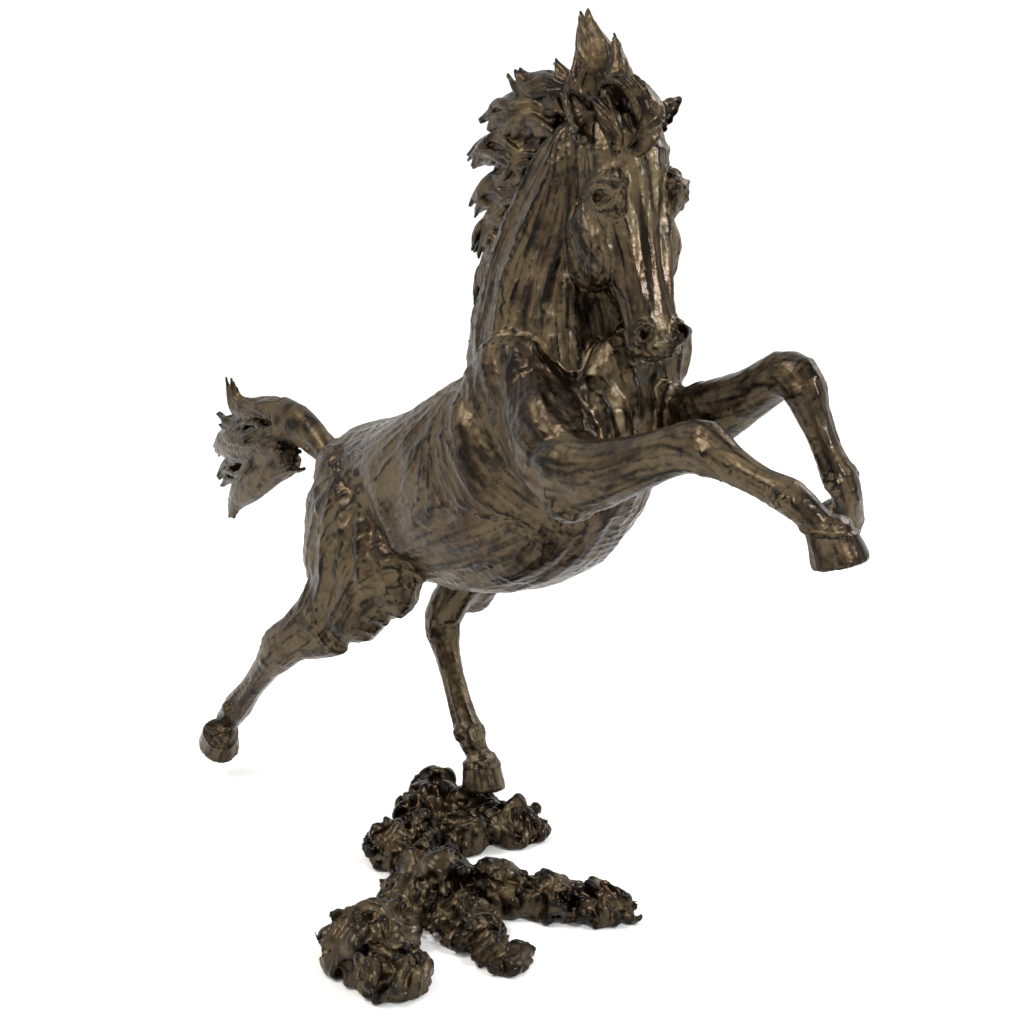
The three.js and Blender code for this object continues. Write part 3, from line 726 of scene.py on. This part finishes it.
# Strokes on one side of the head: the way, its half-width, and how far it stands out or sinks in.
HEAD_STROKES = [
    ([(26, 13, 20), (24, 12.5, -10), (20, 12, -50), (16, 11, -92)], 3.2, 2.4),  # edge of the nose
    ([(14, 20, 16), (10, 20, -14), (8, 18, -50), (8, 16, -84)], 4.5, -2.8),
    ([(0, 34, -16), (-2, 30, -40), (-2, 25, -66)], 3.2, 2.6),  # crest of the cheek
    ([(-12, 36, -18), (-12, 34, -44), (-10, 28, -70)], 3.5, -1.8),
    ([(-20, 40, -14), (-18, 38, -36), (-28, 36, -58), (-48, 32, -66)], 2.6, -2.4),  # edge of the jowl
    ([(20, 22, 8), (12, 33, 14), (-2, 37, 17), (-18, 36, 10)], 2.8, 2.4),  # bone over the eye
    ([(15, 26, 3), (8, 34, 8), (-4, 37, 9), (-16, 36, 4)], 1.8, -2.0),
    ([(12, 27, -10), (2, 34, -12), (-10, 35, -10)], 2.4, -1.6),
    ([(2, 24, 34), (-12, 32, 38), (-26, 34, 36)], 4.0, -2.6),
    ([(6, 30, -14), (8, 24, -24), (10, 20, -36)], 2.0, 1.6),  # vein under the eye
    ([(24, 8, -100), (22, 15, -94), (14, 21, -97), (8, 22.5, -107), (12, 18, -114)], 2.0, 2.2),  # nostril
    ([(-16, 19, -98), (-6, 18, -110), (6, 12, -120), (12, 2, -123)], 1.3, -2.2),  # mouth
    ([(-40, 30, 36), (-36, 36, 8), (-30, 38, -14)], 2.4, -1.6),  # hatching behind the eye
    ([(-34, 30, 38), (-29, 36, 12), (-24, 38, -10)], 1.8, 1.4),
    ([(-28, 30, 38), (-24, 35, 16), (-20, 38, -6)], 1.8, -1.4),
    ([(-48, 28, 34), (-46, 34, 8), (-42, 36, -16)], 2.4, 1.5),
    ([(28, 2, 30), (27, 3, -4), (22, 2, -60)], 5.0, -1.2),
    ([(26, 5, 44), (28, 6, 16), (26, 7, -16)], 2.0, 1.2),
]


def model_legs(clay):
    """The grooves beside the tendons, and the bones at the knee and the fetlock."""
    count, knee, cannon, fetlock = 41, 16, slice(22, 29), 30  # steps along the leg's line
    for leg in LEGS.values():
        line = smooth_line(place(leg["line"]), count)
        way = unit(np.gradient(line, axis=0))
        side = unit(np.cross(np.cross(way, (0, 1, 0)), way))
        for s in (-1, 1):
            groove = line[cannon] + s * 11.5 * side[cannon]
            clay.strand(groove, np.linspace(1.6, 2.4, len(groove)), 3.0, add=False)
            for at, size in ((knee, 5.5), (fetlock, 5.0)):
                clay.lump(line[at] + s * 10.5 * side[at], (size + 2, size, size + 2), None, 4.0)


# Folds and ridges over the trunk: the way, their half-width, and how far they stand out or sink in.
FOLDS = [
    ([(92, -66, 330), (80, -74, 388), (62, -66, 440)], 16, -5),  # behind the shoulder
    ([(130, -70, 372), (112, -70, 410), (96, -62, 452)], 18, 3),
    ([(206, -92, 404), (178, -88, 378), (200, -94, 358), (236, -90, 350)], 7, -4),  # fold of the elbow
    ([(212, -80, 420), (190, -88, 398), (204, -95, 380)], 7, 3.5),
    ([(140, -40, 482), (180, -60, 440), (206, -72, 420)], 9, 4),  # front of the shoulder
    ([(150, -30, 474), (190, -40, 444), (214, -54, 420)], 7, -3.5),
    ([(-100, -63, 346), (-78, -78, 280), (-62, -80, 216)], 6, 3.5),  # down the thigh
    ([(-90, -66, 344), (-66, -76, 290), (-54, -80, 230)], 4, -2.5),
    ([(-76, -66, 344), (-56, -74, 296), (-42, -74, 246)], 6, 3.5),
    ([(-116, -72, 318), (-106, -86, 250), (-114, -86, 200)], 6, -2.5),
    ([(-50, -72, 346), (-26, -78, 300), (-24, -66, 250)], 13, -5),  # flank
    ([(-20, -70, 380), (0, -76, 340), (-6, -76, 296)], 16, 2.5),
    ([(200, 0, 456), (212, 2, 420), (204, 0, 380)], 6, -4),  # between the breast muscles
    ([(204, -20, 450), (214, -18, 418), (206, -16, 386)], 5, 3.5),
    ([(202, 24, 450), (212, 24, 420), (206, 24, 388)], 5, 3.5),
    ([(204, -34, 444), (214, -32, 420), (210, -30, 396)], 3.5, -3),
    ([(206, 38, 446), (212, 36, 420), (208, 36, 396)], 3.5, -3),
    ([(164, -10, 570), (150, -22, 520), (154, -34, 478)], 7, -4),  # the neck's long hollows
    ([(112, -26, 594), (98, -44, 530), (92, -58, 470), (104, -70, 430)], 10, -4),
    ([(132, -24, 594), (120, -38, 534), (116, -50, 478)], 8, 3.5),
    ([(148, -20, 580), (136, -32, 528), (138, -44, 480), (152, -52, 450)], 4, -3),
    ([(156, -18, 566), (144, -28, 520), (146, -40, 476)], 4, 2.5),
    ([(96, -20, 600), (78, -36, 540), (66, -48, 480), (60, -56, 440)], 6, 2.5),
]


def stroke_height(points, strokes):
    """How far strokes move each point along its normal; each stroke is laid on the skin first."""
    height = np.zeros(len(points))
    points = points.astype(np.float32)
    coarse, dense = 24, 96  # points along a stroke
    for track, width, size in strokes:
        track = smooth_line(track, coarse).astype(np.float32)
        margin = 14 + 2 * width
        near = np.flatnonzero(((points > track.min(0) - margin) & (points < track.max(0) + margin)).all(1))
        if len(near) < 50:
            continue
        here = points[near]
        gaps = np.stack([((here - p) ** 2).sum(1) for p in track])
        track = smooth_line(here[gaps.argmin(1)], coarse)
        track = np.stack([np.convolve(np.pad(c, 2, "edge"), np.ones(5) / 5, "valid") for c in track.T], 1)
        track = smooth_line(track, dense).astype(np.float32)
        best = np.full(len(here), 1e9, np.float32)
        station = np.zeros(len(here), np.float32)
        for k, p in enumerate(track):
            gap = ((here - p) ** 2).sum(1)
            closer = gap < best
            best[closer], station[closer] = gap[closer], k
        ends = np.sin(np.pi * (station + 2) / (dense + 3)) ** 0.6
        height[near] += size * ends * np.exp(-best / (1.1 * width * width))
    return height


def all_strokes():
    """The strokes of both sides, where they lie on the horse."""
    strokes = []
    for table, put in ((FOLDS, place), (HEAD_STROKES, on_head)):
        for line, width, size in table:
            strokes += [(put(way), width, size) for way in (line, mirrored(line))]
    return strokes


STROKES = all_strokes()


def hoof_height(points):
    """The band above each hoof, and the faint rings of its wall."""
    height = np.zeros(len(points))
    for leg in LEGS.values():
        local = (points - place(leg["hoof"])) @ turned(leg["turn"])
        level, reach = local[:, 2] / leg["tall"], np.linalg.norm(local[:, :2], axis=1)
        band = 1.3 * np.exp(-((level - 31) / 3) ** 2) - 0.8 * np.exp(-((level - 26.5) / 1.8) ** 2)
        height += band * (reach < 32) * (np.abs(level - 16) < 24)
    return height


def rough_skin(points, normals, quads):
    """The sculptor's strokes: long ridges, fine drags and dents, and cracks in the wax."""
    flow = flow_at(points, normals)
    x, _, z = (points - LAYOUT).T
    neck = step(440, 520, z) * (1 - step(150, 200, x))
    limb = step(225, 260, x) + 1 - step(150, 210, z)
    calm = 1 - 0.5 * np.clip(limb, 0, 1)  # the legs are smoother
    points = points + normals * (stroke_height(points, STROKES) + hoof_height(points))[:, None]
    long = streaks(points, flow, 8.0, 90, 1)
    drag = streaks(points, flow, 2.6, 34, 2)
    dents = speckle(points, 20, 3) + 0.35 * speckle(points, 9, 4)
    height = calm * (0.5 * long + 0.6 * dents) + (0.11 + 0.15 * neck) * drag
    groove = np.abs(streaks(points, flow, 6.5, 70, 5))
    height -= (0.35 + 0.5 * neck) * (1 - step(0.0, 0.75, groove))
    crack = np.abs(speckle(points, 13, 6) + 0.35 * speckle(points, 4, 7))
    height -= 0.6 * (1 - step(0.0, 0.06, crack)) * step(0.4, 0.65, speckle(points, 40, 8))
    tone = 0.5 * drag + 0.35 * long + 0.5 * speckle(points, 30, 9)
    points = points + normals * height[:, None]
    return points, vertex_normals(points, quads), tone


def horse():
    """The skin, in a coarse clay for the trunk and finer ones for the head and each lower leg."""
    sealed = HORSE + ["support_rod", "tail_dock"]  # with what closes the castings' openings
    rough_clay = Clay(*box_of(HORSE, MARGIN), ROUGH_CELL)
    rough_clay.fill_from(sealed)
    parts = [(TORSO, TRUNK_CELL), (["head"], HEAD_CELL)]
    parts += [([leg + "_lower"], LEG_CELL) for leg in LEGS]
    for kept, cell in parts:
        clay = cast_clay(sealed, kept, cell, rough_clay)
        model_legs(clay)
        model_head(clay)
        if "hindleg_left_lower" in kept:  # the standing hoof is flat where it meets the base
            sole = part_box("hindleg_left_lower")[0][2] / MM
            clay.d = np.maximum(clay.d, sole - clay.axes()[2])
        model_pieces(clay, HORSE + ["tail_dock"], BODY_BRONZE, rough_skin, kept=kept)


horse()


# ---------------- hair
THINNEST = 1.3  # a strand's least radius
CORE = 3.4  # how far the strands' core lies inside the CAD locks


def tress(clay, line, sizes, strands, draw, thick, twist=1.3, flick=6.0):
    """Strands of hair side by side along a line, winding round it and curling out at their tips.

    Sizes are the lock's half-width and half-height at each point of the line.
    """
    count = 26  # points along each strand
    line, sizes = smooth_line(line, count), smooth_line(sizes, count)
    way = unit(np.gradient(line, axis=0))
    side = unit(np.cross(way, (0.05, 0.02, 1.0)))
    side = np.where(np.abs(side[:, 1:2]) > 0.2, side, np.array([[0, 1.0, 0]]))
    side = unit(side - way * (side * way).sum(1, keepdims=True))
    upward = np.cross(side, way)
    for k in range(strands):
        turn = 2 * np.pi * (k + draw.uniform(-0.3, 0.3)) / strands
        far_out = math.sqrt(draw.uniform(0.5, 1.15))
        first, last = draw.uniform(-0.1, 0.25), draw.uniform(0.82, 1.0)
        t = np.clip(np.linspace(first, last, count), 0, 1)
        at = t * (count - 1)
        row = np.minimum(at.astype(int), count - 2)
        mix = (at - row)[:, None]

        def along(values):
            return values[row] * (1 - mix) + values[row + 1] * mix

        u = np.linspace(0, 1, count)
        angle = turn + twist * t + 0.5 * np.sin(2 * np.pi * (1.2 * t + draw.uniform()))
        size, p = along(sizes), along(line)
        reach = far_out * (1 - 0.2 * u - 0.45 * u ** 4)
        offset = (reach * np.cos(angle) * size[:, 0])[:, None] * along(side)
        offset += (reach * np.sin(angle) * size[:, 1])[:, None] * along(upward)
        curl = flick * draw.uniform(0.2, 1.0) * u ** 4
        offset += (curl * np.sign(np.sin(angle[-1]) + 0.3))[:, None] * along(upward)
        radius = thick * (0.6 + 0.5 * np.sin(np.pi * np.clip(u, 0, 1)) ** 0.8) * (1 - 0.5 * u ** 4)
        clay.strand(p + offset, np.maximum(radius * draw.uniform(0.7, 1.2), THINNEST), 0.8)


# Each lock's centre line, with its half-width and half-height at each point.
MANE = [
    [(118, 12, 646, 12, 17), (94, 10, 660, 11, 15), (64, 9, 664, 9, 11), (38, 8, 680, 4, 5)],
    [(98, 10, 628, 13, 19), (66, 10, 642, 12, 16), (34, 9, 644, 10, 12), (6, 8, 632, 4, 5)],
    [(84, 8, 600, 13, 18), (52, 10, 614, 13, 18), (14, 10, 614, 11, 14), (-12, 9, 600, 5, 6)],
    [(70, 6, 570, 13, 18), (42, 10, 582, 12, 16), (12, 10, 578, 10, 13), (-10, 10, 562, 4, 5)],
    [(56, 4, 540, 12, 18), (34, 8, 548, 11, 15), (10, 9, 542, 9, 11), (-4, 9, 524, 4, 5)],
    [(42, 2, 508, 11, 16), (26, 5, 514, 9, 13), (10, 7, 504, 7, 9), (4, 7, 482, 3, 4)],
    [(112, 6, 632, 12, 12), (82, 7, 636, 11, 12), (52, 8, 630, 9, 9), (30, 8, 614, 4, 5)],
    [(86, 4, 612, 12, 12), (62, 6, 600, 11, 12), (34, 8, 592, 9, 9), (16, 9, 590, 4, 4)],
    [(74, 2, 578, 12, 12), (50, 5, 562, 10, 12), (26, 7, 558, 8, 9), (8, 8, 548, 3, 4)],
    [(60, 2, 548, 11, 12), (40, 4, 530, 10, 12), (22, 6, 522, 7, 9), (8, 7, 508, 3, 4)],
    [(50, 0, 506, 9, 12), (30, 2, 490, 8, 10), (16, 4, 470, 5, 7), (10, 4, 450, 3, 3)],
]
FLAME = [
    [(148, 12, 630, 17, 34), (144, 12, 662, 15, 30), (141, 11, 688, 10, 17), (136, 9, 708, 5, 8),
     (132, 9, 724, 2, 3)],
    [(166, 8, 644, 11, 12), (174, 7, 664, 9, 10), (172, 8, 684, 6, 7), (162, 9, 704, 2, 3)],
    [(126, 14, 634, 10, 14), (112, 14, 656, 9, 10), (104, 12, 672, 6, 7), (92, 12, 682, 2, 3)],
]
FORELOCK = [(164, 4, 668, 9, 8), (188, 5, 670, 10, 10), (206, 8, 654, 10, 10), (208, 6, 632, 9, 9),
            (196, -2, 618, 7, 7), (178, -12, 622, 3, 3)]
FRINGE = [(158, -2, 660, 8, 7), (174, -8, 655, 8, 7), (185, -11, 641, 8, 7), (191, -10, 626, 6, 6),
          (190, -8, 610, 3, 3)]
TAIL = [
    [(-190, 0, 308, 11, 10), (-224, 0, 322, 11, 11), (-262, 0, 336, 13, 17), (-300, 0, 336, 15, 24)],
    [(-282, 2, 340, 14, 14), (-322, 3, 344, 14, 15), (-358, 2, 338, 12, 14), (-384, 0, 346, 8, 10),
     (-396, -1, 372, 3, 3)],
    [(-280, -4, 320, 15, 16), (-330, -5, 310, 15, 20), (-374, -4, 302, 14, 22), (-412, 0, 298, 9, 16),
     (-434, 2, 286, 4, 6)],
    [(-276, 0, 330, 14, 14), (-322, 0, 328, 14, 17), (-362, 0, 320, 12, 19), (-396, 0, 318, 9, 14),
     (-424, 0, 324, 4, 5)],
    [(-278, -3, 314, 13, 13), (-326, -4, 298, 14, 17), (-368, -3, 282, 13, 21), (-404, 0, 270, 9, 16),
     (-426, 0, 254, 4, 5)],
    [(-274, -2, 306, 13, 13), (-318, -4, 286, 13, 16), (-356, -3, 266, 12, 18), (-388, 0, 246, 9, 14),
     (-404, 0, 220, 3, 4)],
]


def core(clay, names):
    """The CAD locks, a little thinner, as what the strands lie on."""
    clay.fill_from(names)
    clay.d = np.minimum(clay.blurred(1.5) + CORE, clay.far).astype(np.float32)


def comb(points, normals, quads):
    """Fine hairs are already in the strands; a little unevenness keeps them cast."""
    height = 0.25 * speckle(points, 5, 11) + 0.2 * speckle(points, 2.4, 12)
    points = points + normals * height[:, None]
    return points, vertex_normals(points, quads), 2 * speckle(points, 9, 13)


def lay_tresses(clay, locks, strands, draw, thick, **how):
    for lock in locks:
        rows = np.asarray(lock, float)
        tress(clay, place(rows[:, :3]), rows[:, 3:], strands, draw, thick, **how)


def hair():
    draw = np.random.default_rng(21)
    manes = sorted(name for name in nodes if name.startswith("mane_lock"))
    tails = sorted(name for name in nodes if name.startswith("tail_"))
    for names, cell, locks, strands, thick in (
        (manes, 1.1, MANE, 11, 4.0),
        (["poll_flame", "forelock"], 1.1, FLAME, 13, 3.4),
        (tails, 1.2, TAIL, 20, 2.8),
    ):
        clay = Clay(*box_of(names, 16), cell)
        core(clay, names)
        lay_tresses(clay, locks, strands, draw, thick)
        if "forelock" in names:
            lay_tresses(clay, [FORELOCK, FRINGE], 9, draw, 2.6, twist=0.6, flick=2.0)
        model_pieces(clay, names, HAIR_BRONZE, comb)


hair()


# Lumps up an ear: share of its length, half-width, half-depth, and how far forward.
EAR_SHELL = [(-0.1, 9, 9, 0), (0.12, 12, 10, 0), (0.35, 12.5, 9.5, 0), (0.58, 11, 8, 0), (0.78, 8, 6, 0.5),
             (0.94, 4, 3.4, 1)]
EAR_HOLLOW = [(0.08, 6.5, 6, 7), (0.28, 9, 8.5, 6.5), (0.48, 8.8, 8, 6), (0.66, 6.8, 6.5, 5),
              (0.82, 4, 4.5, 4)]


def ears():
    """Cupped leaves: a shell with a deep hollow that looks forward, and a rolled rim."""
    for name, root, tip, facing in (
        ("ear_right", (-18, -27, 46), (-17, -45, 81), (0.9, -0.2, -0.1)),
        ("ear_left", (-20, 19, 54), (-18, 46, 77), (0.75, 0.1, -0.65)),
    ):
        clay = Clay(*box_of([name], 16), 0.8)
        root, tip = np.array(root, float), np.array(tip, float)
        length = np.linalg.norm(tip - root)
        up = unit(tip - root)
        front = unit(np.array(facing) - up * (np.array(facing) @ up))
        side = np.cross(up, front)

        def leaf(rows, soft, add):
            for t, wide, deep, ahead in rows:
                at = root + up * length * t + front * ahead
                turn = HEAD_TURN @ np.stack([front, side, up], 1)
                clay.lump(on_head([at])[0], (deep, wide, 0.17 * length), turn, soft, add)

        leaf(EAR_SHELL, 3.0, True)
        leaf(EAR_HOLLOW, 1.2, False)
        model_pieces(clay, [name], BODY_BRONZE, comb)


ears()


# ---------------- base of pressed clods
SMALL_LUMPS, THUMB_MARKS = 34, 150


def base():
    """The clods, with smaller lumps between them and thumb marks dragged through the wax."""
    names = [name for name in nodes if name.startswith("base_")]
    draw = np.random.default_rng(5)
    clay = Clay(*box_of(names, 12), 1.3)
    clay.fill_from(names)
    clay.d = clay.blurred(2.6)
    for _ in range(SMALL_LUMPS):
        name = draw.choice(names)
        low, high = (np.array(c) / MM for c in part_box(str(name)))
        at = draw.uniform(low, high) * (1, 1, 0.62)
        clay.lump(at, draw.uniform(7, 15, 3), turned(draw.uniform(0, 180, 3)), 3.0)
    points, quads = clay.skin()
    normals = vertex_normals(points, quads)
    upper = np.flatnonzero(points[:, 2] > 3)
    for k in draw.choice(upper, THUMB_MARKS):
        at, out = points[k], normals[k]
        heading = unit(np.cross(out, draw.normal(size=3) * (1, 1, 0.5)))
        beside = np.cross(out, heading)
        bow, long, width = draw.uniform(-6, 6), draw.uniform(8, 17), draw.uniform(3.5, 7)
        t = np.linspace(-1, 1, 7)[:, None]
        depth = draw.uniform(-0.35, 0.35) * width
        lift = depth + 0.45 * width + 0.12 * long * t * t
        track = at + heading * long * t + beside * bow * t * t + out * lift
        clay.strand(track, width * (1 - 0.3 * t[:, 0] ** 2), 0.8, add=False)
    clay.d = np.maximum(clay.d, 0.6 - clay.axes()[2]).astype(np.float32)
    model_pieces(clay, names, BASE_BRONZE, pressed)


def pressed(points, normals, quads):
    """Folds of wax: sharp crests between rounded hollows, larger ones first."""
    bend = np.stack([speckle(points, 22, seed) for seed in (41, 42, 43)], 1) * 9
    along = np.array([1.0, 1.0, 0.55])
    fold = 1 - np.abs(speckle((points + bend) * along, 13, 14)) * 2.4
    small = 1 - np.abs(speckle((points + bend * 0.6) * along, 6.5, 15)) * 2.4
    height = 4.4 * fold + 1.1 * small + 0.1 * speckle(points, 2.6, 16) - 2.0
    points = points + normals * (height * step(0.8, 5, points[:, 2]))[:, None]
    points[:, 2] = np.maximum(points[:, 2], 0.0)
    return points, vertex_normals(points, quads), 1.5 * speckle(points, 12, 17)


base()
for name in ("support_rod", "rod_washer", "rod_nut"):  # these are shown as CAD made them
    nodes[name].data.materials.clear()
    nodes[name].data.materials.append(STEEL)


# ---------------- studio
def round_floor():
    """A flat disc whose rim curves up all round."""
    flat, bend, around = 3.5, 1.2, 48
    profile = [(0.02, 0.0), (1.0, 0.0), (flat, 0.0)]
    profile += [(flat + bend * math.sin(a), bend - bend * math.cos(a))
                for a in np.linspace(0.1, np.pi / 2, 12)]
    points = [(r * math.cos(t), r * math.sin(t), z) for r, z in profile
              for t in np.linspace(0, 2 * np.pi, around, endpoint=False)]
    faces = [tuple(range(around))]
    for ring in range(len(profile) - 1):
        for k in range(around):
            a, b = ring * around + k, ring * around + (k + 1) % around
            faces.append((a, a + around, b + around, b))
    mesh = bpy.data.meshes.new("floor")
    mesh.from_pydata(points, [], faces)
    mesh.polygons.foreach_set("use_smooth", [True] * len(mesh.polygons))
    mesh.materials.append(plain_floor())
    shown("floor", mesh)


def studio():
    """A pale floor, an even pale sky, and three soft lights."""
    round_floor()
    world = bpy.data.worlds.new("studio")
    bpy.context.scene.world = world
    world.use_nodes = True
    background = world.node_tree.nodes["Background"]
    background.inputs["Color"].default_value = (1.0, 0.99, 0.965, 1.0)
    background.inputs["Strength"].default_value = 0.95
    for name, at, size, power, colour in (
        ("key", (-0.6, -2.0, 3.0), 1.6, 90, (1.0, 0.96, 0.9)),
        ("front", (2.4, 0.1, 1.7), 0.5, 50, (0.95, 0.98, 1.0)),
        ("rim", (0.4, 2.4, 2.2), 1.2, 36, (1.0, 0.98, 0.95)),
    ):
        data = bpy.data.lights.new(name, "AREA")
        data.energy, data.size, data.color = power, size, colour
        lamp = shown(name, data)
        lamp.location = at
        lamp.rotation_mode = "QUATERNION"
        lamp.rotation_quaternion = (Vector(at) - Vector((0, 0, 0.35))).to_track_quat("Z", "Y")


def camera():
    """The view from the front right, a little above, through a short telephoto lens."""
    data = bpy.data.cameras.new("camera")
    data.sensor_width, data.lens, data.clip_start = 36.0, 66.68, 0.01
    eye = shown("camera", data)
    right = Vector((0.63572, 0.77192, 0.0))
    forward = Vector((-0.74986, 0.61756, -0.23732)).normalized()
    up = right.cross(forward)
    turn = Matrix((right, up, -forward)).transposed().to_4x4()
    eye.matrix_world = Matrix.Translation((1.2392, -0.9031, 0.6947)) @ turn
    bpy.context.scene.camera = eye


studio()
camera()
bpy.context.scene.view_settings.view_transform = "Standard"
